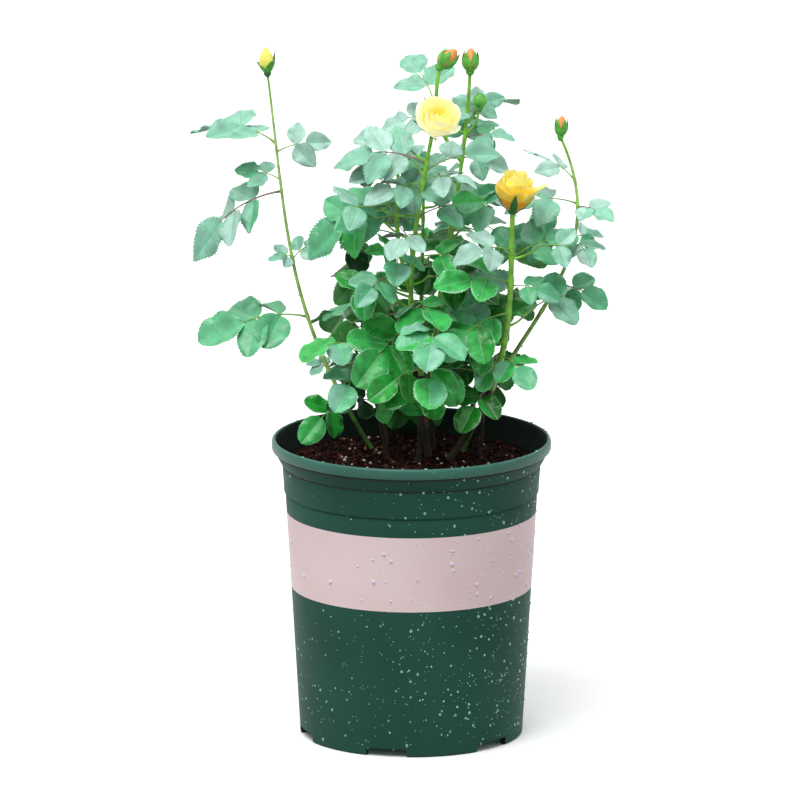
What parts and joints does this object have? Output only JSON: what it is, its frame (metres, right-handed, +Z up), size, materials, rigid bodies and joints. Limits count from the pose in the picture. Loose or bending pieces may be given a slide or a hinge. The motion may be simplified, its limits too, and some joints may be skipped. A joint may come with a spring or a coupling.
{
  "type": "rose bush in a nursery pot",
  "caption": "Leafy rose bush with canes rising from a round pot of mix, with open blooms and buds on long stalks; stands on its pot.",
  "frame": {"origin": "middle of the flat disc under the pot, in the plane that it stands on", "axes": "+X to the plant's right as seen from the front, +Y to its back, +Z up"},
  "size_m": [0.348, 0.2709, 0.5734],
  "materials": {
    "pot": "dark green moulded plastic, satin",
    "soil": "moist bark and peat mix, matte",
    "cane": "smooth green bark",
    "leaf": "smooth leaf with a soft sheen",
    "pale_petal": "soft pale yellow petal",
    "gold_petal": "soft golden petal",
    "bud": "smooth green sepals round folded petals"
  },
  "bodies": {
    "root": {"bloom_front": "pale_petal", "bloom_gold": "gold_petal", "bud_left": "bud", "bud_right": "bud", "bud_top": "bud", "bud_top_side": "bud", "bud_top_small": "bud", "cane_back": "cane", "cane_back_left": "cane", "cane_back_right": "cane", "cane_front": "cane", "cane_gold": "cane", "cane_left": "cane", "cane_low_front": "cane", "cane_low_left": "cane", "cane_low_right": "cane", "cane_right": "cane", "cane_top": "cane", "foliage_back": "leaf", "foliage_back_left": "leaf", "foliage_back_right": "leaf", "foliage_front": "leaf", "foliage_gold": "leaf", "foliage_left": "leaf", "foliage_low_front": "leaf", "foliage_low_left": "leaf", "foliage_low_right": "leaf", "foliage_right": "leaf", "foliage_top": "leaf", "pot": "pot", "soil": "soil"}
  },
  "joints": []
}
